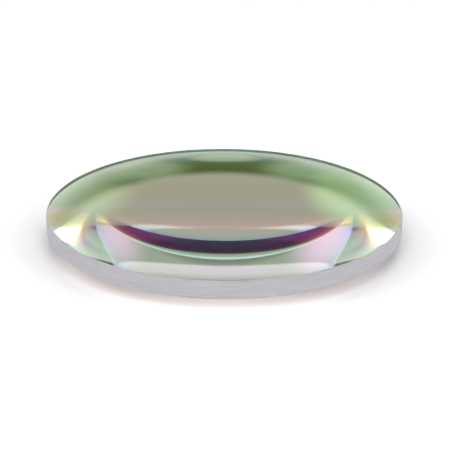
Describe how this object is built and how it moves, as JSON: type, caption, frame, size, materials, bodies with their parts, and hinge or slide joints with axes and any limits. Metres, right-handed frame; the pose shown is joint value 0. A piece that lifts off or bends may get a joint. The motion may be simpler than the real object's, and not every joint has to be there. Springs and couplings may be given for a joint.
{
  "type": "biconvex lens",
  "caption": "Biconvex lens: a round glass disc with two coated convex faces, a fine-ground edge and small bevels, for focusing or collimating light.",
  "frame": {"origin": "centre of the lens, on the optical axis halfway between the two vertices", "axes": "+Z along the optical axis, towards the face that is uppermost in the picture; the lens is round, so X and Y are free"},
  "size_m": [0.0508, 0.0508, 0.0066],
  "materials": {
    "coated_glass": "polished and anti-reflection coated faces, fine-ground edge and bevels"
  },
  "bodies": {
    "root": {"lens": "coated_glass"}
  },
  "joints": []
}
